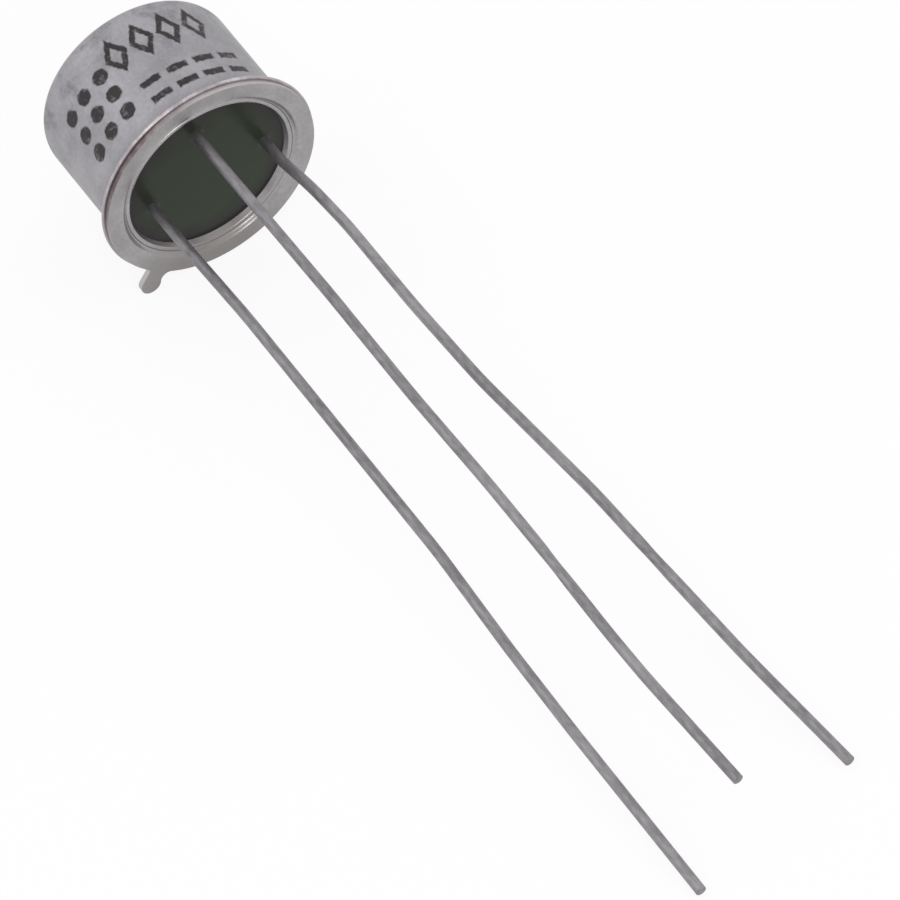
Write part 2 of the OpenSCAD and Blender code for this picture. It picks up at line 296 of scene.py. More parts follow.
def mark_row(tree, around, height, start, pitch, count, at_height, shape):
    """A row of equal marks along the wall: returns the distance to the nearest of them."""
    offset = add(tree, "Math", {0: around, 1: start}, operation="SUBTRACT")
    across = add(tree, "Math", {0: offset, 1: pitch / 2, 2: -pitch / 2}, operation="WRAP")
    across = add(tree, "Math", {0: across}, operation="ABSOLUTE")
    up = add(tree, "Math", {0: height, 1: at_height}, operation="SUBTRACT")
    up = add(tree, "Math", {0: up}, operation="ABSOLUTE")
    if shape == "dots":
        flat = add(tree, "CombineXYZ", {"X": across, "Y": up})
        reach = add(tree, "VectorMath", {0: flat}, operation="LENGTH").outputs["Value"]
        inside = add(tree, "Math", {0: reach, 1: DOT_R}, operation="SUBTRACT")
    elif shape == "lozenges":
        reach = add(tree, "Math", {0: up, 1: LOZENGE_SLIM, 2: across}, operation="MULTIPLY_ADD")
        from_line = add(tree, "Math", {0: reach, 1: LOZENGE_HALF_W}, operation="SUBTRACT")
        from_line = add(tree, "Math", {0: from_line}, operation="ABSOLUTE")
        inside = add(tree, "Math", {0: from_line, 1: LOZENGE_STROKE}, operation="SUBTRACT")
    else:
        length = add(tree, "Math", {0: across, 1: DASH_HALF_LEN}, operation="SUBTRACT")
        width = add(tree, "Math", {0: up, 1: DASH_OFFSET}, operation="SUBTRACT")
        width = add(tree, "Math", {0: width}, operation="ABSOLUTE")
        width = add(tree, "Math", {0: width, 1: DASH_HALF_W}, operation="SUBTRACT")
        inside = add(tree, "Math", {0: length, 1: width}, operation="MAXIMUM")
    middle = add(tree, "Math", {0: offset, 1: pitch * (count - 1) / 2}, operation="SUBTRACT")
    middle = add(tree, "Math", {0: middle}, operation="ABSOLUTE")
    beyond = add(tree, "Math", {0: middle, 1: pitch * count / 2}, operation="GREATER_THAN")
    return add(tree, "Math", {0: beyond, 1: FAR_OFF, 2: inside}, operation="MULTIPLY_ADD")


print("stamped rows:", len(MARK_ROWS), "marks:", sum(row[2] for row in MARK_ROWS))

# %% [markdown]
# ## The can's plate
#
# The plate is bright nickel gone dull, a pale grey with a trace of mauve. Near the crown it is
# smudged where fingers and the drawing die left their marks, and it turns darker near the bend
# over the flange. A mask for each is a range of heights, and a noise breaks the smudges into
# patches.

# %% Satin nickel plate
PLATE_LIGHT = "#adabaf"
PLATE_DARK = "#99979b"
DARKER_TONE = "#6f6c72"
SMUDGE_MM = 1.11
SMUDGE_STARTS_Z, SMUDGE_FULL_Z = 3.2, 5.4
CROWN_EDGE_Z = 5.9
BEND_DARK_FULL_Z, BEND_DARK_ENDS_Z = 0.4, 1.2

can_material, tree = new_material("satin_nickel_plate")
place = standing_mm(tree)
radius, angle, height = round_places(tree, place)
plate = plate_colour(tree, place, PLATE_DARK, PLATE_LIGHT)

patches = add(tree, "TexNoise", {
    "Vector": place, "Scale": 1 / SMUDGE_MM, "Detail": 6.0, "Roughness": 0.7})
patches = add(tree, "MapRange", {"Value": patches, "From Min": 0.5, "From Max": 0.72})
near_crown = add(tree, "MapRange", {
    "Value": height, "From Min": SMUDGE_STARTS_Z, "From Max": SMUDGE_FULL_Z,
    "To Min": 0.12, "To Max": 0.95})
off_crown = add(tree, "MapRange", {
    "Value": height, "From Min": CROWN_EDGE_Z, "From Max": BODY_H, "To Min": 1.0, "To Max": 0.3})
darkened = add(tree, "Math", {0: patches, 1: near_crown}, operation="MULTIPLY")
darkened = add(tree, "Math", {0: darkened, 1: off_crown}, operation="MULTIPLY")
# The wall is darker towards the bend over the flange, in the same tone as the smudges.
bend_darkening = add(tree, "MapRange", {
    "Value": height, "From Min": BEND_DARK_FULL_Z, "From Max": BEND_DARK_ENDS_Z,
    "To Min": 0.45, "To Max": 0.0})
darkened = add(tree, "Math", {0: darkened, 1: bend_darkening}, operation="ADD")
plate = add(tree, "Mix", {"Factor": darkened, "A": plate, "B": linear(DARKER_TONE)}, data_type="RGBA")
print("smudges between", SMUDGE_STARTS_Z, "and", BODY_H, "mm, patches of", SMUDGE_MM, "mm")

# %% [markdown]
# ## The can's flange
#
# Dirt sits in the seam under the flange. The flange's edge has browned, and its top side is
# painted lighter in patches, as a painted highlight. The cosine of a place's angle tells how far
# it is on that side, and a noise picks out the patches.

# %% The seam and the rim
FLANGE_R = 4.7
RIM_ROUND = 0.12
RIM_SOLID = 0.04
SEAM_Z = 0.20
SEAM_SKIN = 0.01
SEAM_DIRT = "#8d8588"
RIM_BROWN = "#aaa1a4"
# The lighter colour of the painted highlight on the top side of the rim.
RIM_HIGHLIGHT = "#cfcacc"
RIM_HIGHLIGHT_MM = 0.77

dirt = add(tree, "MapRange", {
    "Value": radius, "From Min": FLANGE_R - 2 * RIM_SOLID, "From Max": FLANGE_R - RIM_SOLID,
    "To Min": 1.0, "To Max": 0.0})
below = add(tree, "Math", {0: height, 1: SEAM_Z + SEAM_SKIN}, operation="LESS_THAN")
dirt = add(tree, "Math", {0: dirt, 1: below}, operation="MULTIPLY")
plate = add(tree, "Mix", {"Factor": dirt, "A": plate, "B": linear(SEAM_DIRT)}, data_type="RGBA")

# Painted highlight: the rim's top side is made lighter, in patches.
facing = add(tree, "Math", {0: angle}, operation="COSINE")
rim_highlight = add(tree, "MapRange", {"Value": facing, "From Min": 0.1, "From Max": 0.95})
patches = add(tree, "TexNoise", {
    "Vector": place, "Scale": 1 / RIM_HIGHLIGHT_MM, "Detail": 4.0, "Roughness": 0.7})
patches = add(tree, "MapRange", {"Value": patches, "From Min": 0.42, "From Max": 0.6})
rim_highlight = add(tree, "Math", {0: rim_highlight, 1: patches}, operation="MULTIPLY")
edge = add(tree, "Mix", {"Factor": rim_highlight, "A": linear(RIM_BROWN), "B": linear(RIM_HIGHLIGHT)},
           data_type="RGBA")
on_edge = add(tree, "MapRange", {
    "Value": radius, "From Min": FLANGE_R - RIM_ROUND, "From Max": FLANGE_R - RIM_SOLID})
plate = add(tree, "Mix", {"Factor": on_edge, "A": plate, "B": edge}, data_type="RGBA")
print("brown rim beyond radius", round(FLANGE_R - RIM_ROUND, 2), "mm")

# %% [markdown]
# ## Ink on the plate
#
# The rows are joined by taking the least of their distances. A fine noise shifts that distance,
# which makes the edges ragged, and a second one wears the ink thin in patches. Where the ink lies
# the surface isn't metal, so the metallic value drops there.

# %% The ink
INK = "#160e10"
EDGE_RAGGED = 0.07
RAGGED_MM = 0.2
WORN_MM = 0.3

around = add(tree, "Math", {0: angle, 1: CAN_R}, operation="MULTIPLY")
distance = mark_row(tree, around, height, *MARK_ROWS[0])
for row in MARK_ROWS[1:]:
    other = mark_row(tree, around, height, *row)
    distance = add(tree, "Math", {0: distance, 1: other}, operation="MINIMUM")
ragged = add(tree, "TexNoise", {"Vector": place, "Scale": 1 / RAGGED_MM, "Detail": 3.0})
ragged = add(tree, "MapRange", {
    "Value": ragged, "From Min": 0.3, "From Max": 0.7,
    "To Min": -EDGE_RAGGED / 2, "To Max": EDGE_RAGGED / 2})
distance = add(tree, "Math", {0: distance, 1: ragged}, operation="ADD")
inked = add(tree, "MapRange", {
    "Value": distance, "From Min": -0.04, "From Max": 0.03, "To Min": 1.0, "To Max": 0.0})
worn = add(tree, "TexNoise", {
    "Vector": place, "Scale": 1 / WORN_MM, "Detail": 4.0, "Roughness": 0.6})
worn = add(tree, "MapRange", {
    "Value": worn, "From Min": 0.32, "From Max": 0.46, "To Min": 0.7, "To Max": 1.0})
inked = add(tree, "Math", {0: inked, 1: worn}, operation="MULTIPLY")
coloured = add(tree, "Mix", {"Factor": inked, "A": plate, "B": linear(INK)}, data_type="RGBA")
metal = add(tree, "Math", {0: 1.0, 1: inked}, operation="SUBTRACT")
print("ink colour:", [round(v, 4) for v in linear(INK)[:3]])

# %% [markdown]
# ## The can's surface
#
# The wall is duller than the flange's rim, which was rubbed by every neighbour in the drawer. A
# low relief of tumbling dents keeps the reflections from being too even.

# %% The can's shader
RIM_SHINES_R, RIM_BRIGHT_R = FLANGE_R - 0.15, FLANGE_R - 0.05
DENT_MM = 0.25

shine = add(tree, "MapRange", {
    "Value": radius, "From Min": RIM_SHINES_R, "From Max": RIM_BRIGHT_R,
    "To Min": 0.52, "To Max": 0.36})
dents = add(tree, "TexNoise", {"Vector": place, "Scale": 1 / DENT_MM, "Detail": 3.0})
relief = add(tree, "Bump", {"Height": dents, "Strength": 0.25, "Distance": 0.012 * MM})
shader = add(tree, "BsdfPrincipled", {
    "Base Color": coloured, "Metallic": metal, "Roughness": shine, "Normal": relief})
add(tree, "OutputMaterial", {"Surface": shader})
print("can finish:", can_material.name, "with", len(tree.nodes), "nodes")

# %% [markdown]
# ## The can
#
# The can is one drawn cup of 0.2 mm sheet: a flat crown, a wide rounded edge, a straight wall and
# a tight bend out to the flange. The outer skin, the rim and the inner skin are one section from
# axis to axis, so one spin closes the whole piece. A ring of points on the flat crown keeps the
# faces there from being long slivers.

# %% The can's mesh
CAN_T = 0.2
CROWN_R = 1.0
BEND_R = 0.15
RIM_EASE = 0.03
CROWN_RING_R = 1.5

flange_top = SEAM_Z + CAN_T
bend = (CAN_R + BEND_R, flange_top + BEND_R)
crown = (CAN_R - CROWN_R, BODY_H - CROWN_R)
section = [(0, BODY_H), (CROWN_RING_R, BODY_H)]
section += arc(crown, CROWN_R, 90, 0, 24)
section += arc(bend, BEND_R, 180, 270, 10)
section += arc((FLANGE_R - RIM_ROUND, flange_top - RIM_ROUND), RIM_ROUND, 90, 0, 8)
section += arc((FLANGE_R - RIM_EASE, SEAM_Z + RIM_EASE), RIM_EASE, 0, -90, 4)
section += arc(bend, BEND_R + CAN_T, 270, 180, 12)
section += arc(crown, CROWN_R - CAN_T, 0, 90, 20)
section += [(CROWN_RING_R, BODY_H - CAN_T), (0, BODY_H - CAN_T)]

bm = bmesh.new()
spin_section(bm, section)
finish_piece(bm, "can", ["cap"], can_material)

# %% [markdown]
# ## The header's finish
#
# The header wears the same plate, and the lower side of its face is made darker as painted shade.
# Its sheared rim has hardly any plate: it is rubbed bright where fingers reach it, and brown
# tarnish sits on the side that lay in damp. Both sides are told by the cosine of the angle to
# them.

# %% Stamped header plate
HEADER_R = 4.6
FACE_Z = -0.05
HEADER_LIGHT = "#aeabac"
HEADER_DARK = "#9d9a9c"
# The colour of the painted shade on the lower side of the face.
FACE_SHADE = "#8b8785"
FACE_SHADE_SIDE = math.radians(185)
RUBBED_EDGE = "#c2bebd"
TARNISH = "#736668"
TARNISH_SIDE = math.radians(-52)
TARNISH_MM = 0.625
EDGE_STARTS, EDGE_FULL = 0.07, 0.01
FACE_SKIN, FACE_FADE = 0.002, 0.02

header_material, tree = new_material("stamped_header_plate")
place = standing_mm(tree)
radius, angle, height = round_places(tree, place)
plate = plate_colour(tree, place, HEADER_DARK, HEADER_LIGHT)

# Painted shade: the lower side of the face is darker.
away = add(tree, "Math", {0: angle, 1: FACE_SHADE_SIDE}, operation="SUBTRACT")
facing = add(tree, "Math", {0: away}, operation="COSINE")
face_shade = add(tree, "MapRange", {
    "Value": facing, "From Min": 0.6, "From Max": 0.95, "To Max": 0.85})
plate = add(tree, "Mix", {"Factor": face_shade, "A": plate, "B": linear(FACE_SHADE)}, data_type="RGBA")

away = add(tree, "Math", {0: angle, 1: TARNISH_SIDE}, operation="SUBTRACT")
facing = add(tree, "Math", {0: away}, operation="COSINE")
damp = add(tree, "MapRange", {
    "Value": facing, "From Min": 0.62, "From Max": 0.95, "To Min": 0.12, "To Max": 1.0})
spots = add(tree, "TexNoise", {
    "Vector": place, "Scale": 1 / TARNISH_MM, "Detail": 5.0, "Roughness": 0.6})
spots = add(tree, "MapRange", {
    "Value": spots, "From Min": 0.3, "From Max": 0.6, "To Min": 0.65, "To Max": 1.0})
damp = add(tree, "Math", {0: damp, 1: spots}, operation="MULTIPLY")
edge = add(tree, "Mix", {"Factor": damp, "A": linear(RUBBED_EDGE), "B": linear(TARNISH)},
           data_type="RGBA")
rim = add(tree, "MapRange", {
    "Value": radius, "From Min": HEADER_R - EDGE_STARTS, "From Max": HEADER_R - EDGE_FULL})
off_face = add(tree, "MapRange", {
    "Value": height, "From Min": FACE_Z + FACE_SKIN, "From Max": FACE_Z + FACE_FADE})
rim = add(tree, "Math", {0: rim, 1: off_face}, operation="MULTIPLY")
coloured = add(tree, "Mix", {"Factor": rim, "A": plate, "B": edge}, data_type="RGBA")
print("tarnish round", round(math.degrees(TARNISH_SIDE)), "degrees")

# %% [markdown]
# ## The header's surface
#
# The lip was burnished by the coining tool and shines, while the face round it is dull. Very
# faint scratches run across the face one way, as a noise that is stretched along one direction.

# %% The header's shader
BURNISHED_R, DULL_R = 3.95, 4.2
SCRATCHES_PER_MM = 14
SCRATCH_LEN_MM = 1.67
SCRATCH_TURN = math.radians(40)

shine = add(tree, "MapRange", {
    "Value": radius, "From Min": BURNISHED_R, "From Max": DULL_R, "To Min": 0.27, "To Max": 0.46})
stretched = add(tree, "Mapping", {
    "Vector": place, "Rotation": (0, 0, SCRATCH_TURN),
    "Scale": (SCRATCHES_PER_MM, 1 / SCRATCH_LEN_MM, 1)})
scratches = add(tree, "TexNoise", {"Vector": stretched, "Scale": 1.0, "Detail": 3.0})
relief = add(tree, "Bump", {"Height": scratches, "Strength": 0.03, "Distance": 0.01 * MM})
shader = add(tree, "BsdfPrincipled", {
    "Base Color": coloured, "Metallic": 1.0, "Roughness": shine, "Normal": relief})
add(tree, "OutputMaterial", {"Surface": shader})
print("header finish:", header_material.name, "with", len(tree.nodes), "nodes")

# %% [markdown]
# ## The header's outline with its index tab
#
# The header is a little smaller than the can's flange, and it alone carries the small tab that
# tells the user where the emitter is. Its outline is a circle with a round-ended tongue. A wide
# fillet runs out on one side and a tight one on the other. The outline is a chain of arcs, so
# each radius can be read in the code. The can's flange and the tab's end both touch the table,
# which gives the tab's angle.

# %% The outline of the header
TAB_END_R = 0.43
TAB_LEN = 1.01
TAB_FILLET_R = 0.35
TAB_CORNER_R = 0.12

tab_centre = FLANGE_R + TAB_LEN - TAB_END_R
tab_from_below = math.degrees(math.acos((FLANGE_R - TAB_END_R) / tab_centre))
TAB_ANGLE = 180 + tab_from_below


def header_outline():
    """The outline of the header's flange, its tab along +X."""
    wide_reach = HEADER_R + TAB_FILLET_R
    end_reach = TAB_END_R + TAB_FILLET_R
    wide_x = (wide_reach ** 2 - end_reach ** 2 + tab_centre ** 2) / (2 * tab_centre)
    wide_y = -math.sqrt(wide_reach ** 2 - wide_x ** 2)
    tight_y = TAB_END_R + TAB_CORNER_R
    tight_x = math.sqrt((HEADER_R + TAB_CORNER_R) ** 2 - tight_y ** 2)
    leaves_rim = math.degrees(math.atan2(wide_y, wide_x))
    meets_end = math.degrees(math.atan2(wide_y, wide_x - tab_centre))
    meets_rim = math.degrees(math.atan2(tight_y, tight_x))
    points = arc((wide_x, wide_y), TAB_FILLET_R, 180 + leaves_rim, 180 + meets_end, 12)[:-1]
    points += arc((tab_centre, 0), TAB_END_R, meets_end, 90, 28)
    points += arc((tight_x, tight_y), TAB_CORNER_R, -90, meets_rim - 180, 6)
    points += arc((0, 0), HEADER_R, meets_rim, 360 + leaves_rim, SEGMENTS)[1:-1]
    return points


print("tab at", round(TAB_ANGLE, 1), "degrees; outline points:", len(header_outline()))

# %% [markdown]
# ## The header's flange
#
# The flange is a plate with this outline and a round hole. The space between the outline and the
# hole's circle is filled, that face is extruded to the sheet's thickness, and both outer edges
# are eased by a small round bevel. The wall of the hole is left out, because the turned lip
# joins there.

# %% A plate for the flange
FACE_EASE = 0.06
BACK_EASE = 0.03
EASED_FROM = math.radians(60)


def flange_plate(bm, hole_r, low, high):
    """Adds the flange between its outline and a round hole, from height low to high."""
    turn = Matrix.Rotation(math.radians(TAB_ANGLE), 3, "Z")
    outline = [bm.verts.new(turn @ Vector((x, y, low))) for x, y in header_outline()]
    loops = [bm.edges.new(pair) for pair in zip(outline, outline[1:] + outline[:1])]
    hole = bmesh.ops.create_circle(
        bm, cap_ends=False, segments=SEGMENTS, radius=hole_r,
        matrix=Matrix.Translation((0, 0, low)))["verts"]
    loops += list({edge for vert in hole for edge in vert.link_edges})
    filled = bmesh.ops.triangle_fill(
        bm, use_beauty=True, use_dissolve=False, edges=loops, normal=(0, 0, -1))["geom"]
    flat = [item for item in filled if isinstance(item, bmesh.types.BMFace)]
    grown = bmesh.ops.extrude_face_region(bm, geom=flat, use_keep_orig=True)["geom"]
    top = [item for item in grown if isinstance(item, bmesh.types.BMVert)]
    bmesh.ops.translate(bm, verts=top, vec=(0, 0, high - low))
    own = set(outline) | set(hole) | set(top)
    hole_wall = [face for face in bm.faces if set(face.verts) <= own
                 and all(abs(vert.co.xy.length - hole_r) < MERGE_MM for vert in face.verts)]
    bmesh.ops.delete(bm, geom=hole_wall, context="FACES_ONLY")
    for level, ease in ((low, FACE_EASE), (high, BACK_EASE)):
        edges = [edge for edge in bm.edges if set(edge.verts) <= own and edge.is_manifold
                 and all(abs(vert.co.z - level) < MERGE_MM for vert in edge.verts)
                 and edge.calc_face_angle() > EASED_FROM]
        bmesh.ops.bevel(
            bm, geom=edges, offset=ease, offset_type="OFFSET", segments=4, profile=0.5,
            affect="EDGES", material=-1, clamp_overlap=True)


print("edges eased by", FACE_EASE, "and", BACK_EASE, "mm")

# %% [markdown]
# ## The header
#
# The header is stamped from thicker sheet. Its opening has a lip that flares outwards from the
# glass and ends in a round bead. A coined groove sets the bead off, and a soft slope, half a wave
# of a cosine, leads up to the flat face. The cup behind holds the glass, and the platform at the
# cup's end has a hole for each lead, hidden behind the glass.

# %% The header's mesh
HEADER_T = 0.25
CUP_GAP = 0.08
OPENING_R = CAN_R - CAN_T - CUP_GAP - HEADER_T
PLATFORM_Z = 0.95
CUP_BEND_R = 0.15
BEAD_R = 0.11
BEAD_BULGE = 0.09
BEAD_Z = 0.08
BEAD_ENDS = 320
FLARE = 25
FLARE_LEN = 0.2
LEDGE_Z = 0.45
GROOVE_Z = 0.14
SLOPE_START = 3.75
SLOPE_END = 3.96
SLOPE_STEPS = 14
EYELET_R = 0.65
EYELET_SIDES = 32
LEAD_CIRCLE_R = 2.54
TAB_TURN = 47
LEAD_ANGLES = {
    "emitter": TAB_ANGLE + TAB_TURN,
    "base": TAB_ANGLE + TAB_TURN + 90,
    "collector": TAB_ANGLE + TAB_TURN + 180,
}

cup_bend = (OPENING_R - CUP_BEND_R, PLATFORM_Z - CUP_BEND_R)
bead = (OPENING_R + BEAD_R - BEAD_BULGE, BEAD_Z + BEAD_R)
crest = arc(bead, BEAD_R, 180 + FLARE, BEAD_ENDS, 22)
flare_end = (crest[0][0] - FLARE_LEN * math.sin(math.radians(FLARE)),
             crest[0][1] + FLARE_LEN * math.cos(math.radians(FLARE)))
under = arc(cup_bend, CUP_BEND_R, 90, 0, 6)
under += [(OPENING_R, LEDGE_Z), flare_end]
under += crest
for step in range(SLOPE_STEPS + 1):
    share = step / SLOPE_STEPS
    rise = (1 - math.cos(math.pi * share)) / 2
    under += [(SLOPE_START + (SLOPE_END - SLOPE_START) * share,
               GROOVE_Z + (FACE_Z - GROOVE_Z) * rise)]
behind = [(SLOPE_END, SEAM_Z), (OPENING_R + HEADER_T, SEAM_Z)]
behind += arc(cup_bend, CUP_BEND_R + HEADER_T, 0, 90, 8)


def lead_centre(angle):
    """Where a lead stands on the lead circle, in the standing frame."""
    return Vector((LEAD_CIRCLE_R * math.cos(math.radians(angle)),
                   LEAD_CIRCLE_R * math.sin(math.radians(angle)), 0))


def platform_disc(bm, height, radius):
    """A disc with the three eyelet holes, at a height."""
    level = Matrix.Translation((0, 0, height))
    rim = bmesh.ops.create_circle(
        bm, cap_ends=False, segments=SEGMENTS, radius=radius, matrix=level)["verts"]
    loops = list({edge for vert in rim for edge in vert.link_edges})
    for angle in LEAD_ANGLES.values():
        hole = bmesh.ops.create_circle(
            bm, cap_ends=False, segments=EYELET_SIDES, radius=EYELET_R,
            matrix=level @ Matrix.Translation(lead_centre(angle)))["verts"]
        loops += list({edge for vert in hole for edge in vert.link_edges})
    bmesh.ops.triangle_fill(bm, use_beauty=True, use_dissolve=False, edges=loops, normal=(0, 0, 1))


bm = bmesh.new()
flange_plate(bm, SLOPE_END, FACE_Z, SEAM_Z)
spin_section(bm, under)
spin_section(bm, behind)
platform_disc(bm, PLATFORM_Z, cup_bend[0])
platform_disc(bm, PLATFORM_Z + HEADER_T, cup_bend[0])
for angle in LEAD_ANGLES.values():
    through = lead_centre(angle) + Vector((0, 0, PLATFORM_Z + HEADER_T / 2))
    bmesh.ops.create_cone(
        bm, cap_ends=False, segments=EYELET_SIDES, radius1=EYELET_R, radius2=EYELET_R,
        depth=HEADER_T, matrix=Matrix.Translation(through))
finish_piece(bm, "header", ["header_eyelet"], header_material)

# %% [markdown]
# ## The sealing glass
#
# Dark green glass was melted into the header as a drop. It set as a shallow dome with a smooth
# surface, green where it is deep and browner at the wall, where it took up oxide from the steel.
# A cloudy noise, added to the distance from the axis, lets the border between the two wander. The
# glass is so dark that it can be drawn as an opaque body. Its surface is a little dull, so the
# wires show in it only as soft shades, and little light comes back from it.

# %% Green sealing glass
GLASS_GREEN = "#252e1f"
GLASS_BROWN = "#221f1f"
CLOUD_MM = 1.43
CLOUD_SHIFT = 2.4
BROWN_STARTS, BROWN_FULL = 3.6, 4.7
RIPPLE_MM = 0.77

glass_material, tree = new_material("green_sealing_glass")
place = standing_mm(tree)
radius = round_places(tree, place)[0]
clouds = add(tree, "TexNoise", {"Vector": place, "Scale": 1 / CLOUD_MM, "Detail": 3.0})
wander = add(tree, "Math", {0: clouds, 1: CLOUD_SHIFT, 2: radius}, operation="MULTIPLY_ADD")
browned = add(tree, "MapRange", {
    "Value": wander, "From Min": BROWN_STARTS, "From Max": BROWN_FULL})
body = add(tree, "Mix", {"Factor": browned, "A": linear(GLASS_GREEN), "B": linear(GLASS_BROWN)},
           data_type="RGBA")
ripples = add(tree, "TexNoise", {"Vector": place, "Scale": 1 / RIPPLE_MM, "Detail": 1.0})
relief = add(tree, "Bump", {"Height": ripples, "Strength": 0.3, "Distance": 0.03 * MM})
shader = add(tree, "BsdfPrincipled", {
    "Base Color": body, "Metallic": 0.0, "Roughness": 0.28, "IOR": 1.5,
    "Specular IOR Level": 0.2, "Normal": relief})
add(tree, "OutputMaterial", {"Surface": shader})
print("glass finish:", glass_material.name)

# %% [markdown]
# ## The dome of the glass
#
# The glass is spun like the other turned shapes. Its front is divided into fine rings, and its
# points are then pulled up a little next to each wire, as melted glass climbs a wire it wets. Its
# back lies a hair's breadth inside the steel cup, and a short plug fills each eyelet hole.

# %% The glass's mesh
MIDDLE_DEPTH = 0.23
WETTING = 0.05
WETTING_REACH = 0.07
LEAD_R = 0.215
RINGS = 90
SKIN = 0.001

edge_r, edge_depth = flare_end

bm = bmesh.new()
front = []
for ring in range(RINGS + 1):
    share = ring / RINGS
    front += [(edge_r * share, MIDDLE_DEPTH + (edge_depth - MIDDLE_DEPTH) * share ** 2)]
spin_section(bm, front)
bmesh.ops.remove_doubles(bm, verts=bm.verts, dist=MERGE_MM)
centres = [lead_centre(angle) for angle in LEAD_ANGLES.values()]
for vert in bm.verts:
    to_lead = min((vert.co.xy - centre.xy).length for centre in centres) - LEAD_R
    vert.co.z -= WETTING * math.exp(-max(to_lead, 0) / WETTING_REACH)
back = [(edge_r, edge_depth), (OPENING_R - SKIN, LEDGE_Z)]
back += arc(cup_bend, CUP_BEND_R - SKIN, 0, 90, 4)
back += [(0, PLATFORM_Z - SKIN)]
spin_section(bm, back)
for angle in LEAD_ANGLES.values():
    plug = lead_centre(angle) + Vector((0, 0, PLATFORM_Z + HEADER_T / 2))
    bmesh.ops.create_cone(
        bm, cap_ends=True, segments=EYELET_SIDES, radius1=EYELET_R - SKIN,
        radius2=EYELET_R - SKIN, depth=HEADER_T, matrix=Matrix.Translation(plug))
finish_piece(bm, "glass", ["header_glass"], glass_material)

# %% [markdown]
# ## The wire's finish
#
# Each lead is drawn nickel-iron wire of 0.43 mm, tinned and gone dull. Tarnish of a few
# millimetres makes one stretch lighter than the next, and small flecks and faint lines from the
# drawing die break up the rest. To the eye it is a soft grey line with hardly any highlight.

# %% Dull tinned wire
WIRE_LIGHT = "#a19ea2"
WIRE_DARK = "#7e7b7f"
WIRE_TARNISH_MM = 4.5
FLECK_MM, FLECK_LEN_MM = 0.18, 0.5
FLECK_SHARE = 0.55

wire_material, tree = new_material("dull_tinned_wire")
place = standing_mm(tree)
tarnish = add(tree, "TexNoise", {"Vector": place, "Scale": 1 / WIRE_TARNISH_MM, "Detail": 2.0})
stretched = add(tree, "Mapping", {
    "Vector": place, "Scale": (1 / FLECK_MM, 1 / FLECK_MM, 1 / FLECK_LEN_MM)})
flecks = add(tree, "TexNoise", {"Vector": stretched, "Scale": 1.0, "Detail": 4.0})
mixed = add(tree, "Mix", {"Factor": FLECK_SHARE, "A": tarnish, "B": flecks}, data_type="FLOAT")
tone = add(tree, "MapRange", {"Value": mixed, "From Min": 0.36, "From Max": 0.64})
coloured = add(tree, "Mix", {"Factor": tone, "A": linear(WIRE_DARK), "B": linear(WIRE_LIGHT)},
               data_type="RGBA")
relief = add(tree, "Bump", {"Height": flecks, "Strength": 0.4, "Distance": 0.012 * MM})
shader = add(tree, "BsdfPrincipled", {
    "Base Color": coloured, "Metallic": 1.0, "Roughness": 0.5, "Normal": relief})
add(tree, "OutputMaterial", {"Surface": shader})
print("wire finish:", wire_material.name)

# %% [markdown]
# ## The routes of the leads
#
# The wires were straightened by hand, so each runs in long soft curves. A route is a few corner
# points: a distance below the flange and a lean to the side. A running average along the route
# rounds the corners. A wire may also dip evenly on the way to its tip, and the collector's dip is
# worked out so that its tip touches the table. Each route holds the wire's length below the
# flange, its tip's lean and dip, the height of its inner end, and the bends.

# %% The routes
EMITTER_LEN, BASE_LEN, COLLECTOR_LEN = 39.4, 37.4, 37.3
BASE_DIP = 0.55
POST_TOP = 3.75
BASE_POST_TOP = 3.0
tilt = math.asin(can_axis.z)
COLLECTOR_DIP = (lead_centre(LEAD_ANGLES["collector"]).x - LEAD_R
                 - (COLLECTOR_LEN * math.sin(tilt) - flange_centre.z / MM) / math.cos(tilt))
ROUTES = {
    "emitter": (EMITTER_LEN, -0.3, 0.0, POST_TOP,
                [(1.5, 0), (6.5, 0.15), (20.5, 0.11), (26, -0.13), (30.5, -0.23)]),
    "base": (BASE_LEN, 0.47, BASE_DIP, BASE_POST_TOP,
             [(1.5, -0.03), (9.5, 0.1), (15.5, 0.1), (20.5, 0.22), (24, 0.235), (29, 0.175),
              (31.5, 0.2)]),
    "collector": (COLLECTOR_LEN, 2.45, COLLECTOR_DIP, POST_TOP,
                  [(0.8, 0), (2.8, 0.31), (5.2, 0.475), (10, 0.51), (14.5, 0.69),
                   (21.5, 1.37), (26, 1.6), (31, 1.89)]),
}
AVERAGE = (1, 2, 3, 4, 5, 4, 3, 2, 1)
AVERAGE_REACH = 0.9
STEP = 0.3


def route_points(name):
    """Points along a lead's centre line, from its inner end to its tip."""
    length, lean, dip, top, bends = ROUTES[name]
    root = lead_centre(LEAD_ANGLES[name])
    half = len(AVERAGE) // 2
    corners = [(-top, 0.0)] + list(bends) + [(length, lean)]
    count = round((length + top) / STEP)

    def lean_at(at):
        start, stop = next(pair for pair in zip(corners, corners[1:])
                           if at <= pair[1][0] or pair[1] == corners[-1])
        return start[1] + (stop[1] - start[1]) * (at - start[0]) / (stop[0] - start[0])

    points = []
    for i in range(count + 1):
        at = -top + (length + top) * i / count
        near = min(AVERAGE_REACH, at + top, length - at)
        leans = [lean_at(at + near * k / half) * weight
                 for k, weight in zip(range(-half, half + 1), AVERAGE)]
        side = sum(leans) / sum(AVERAGE)
        points.append(Vector((root.x - dip * max(at, 0) / length, root.y + side, -at)))
    return points


print("the collector's tip dips by", round(COLLECTOR_DIP, 3), "mm")

# %% [markdown]
# ## Drawing the wire
#
# A lead is a ring of points, extruded edge by edge along the route and turned with it. Two of
# the wires were nipped by a tool at the same distance, which left a slight waist. The ends are
# cut square and keep a sharp edge.

# %% The leads' meshes
WIRE_SIDES = 28
WAISTS = {"emitter": 0.0, "base": 0.09, "collector": 0.09}
WAIST_AT = 25.3
WAIST_HALF_LEN = 0.7


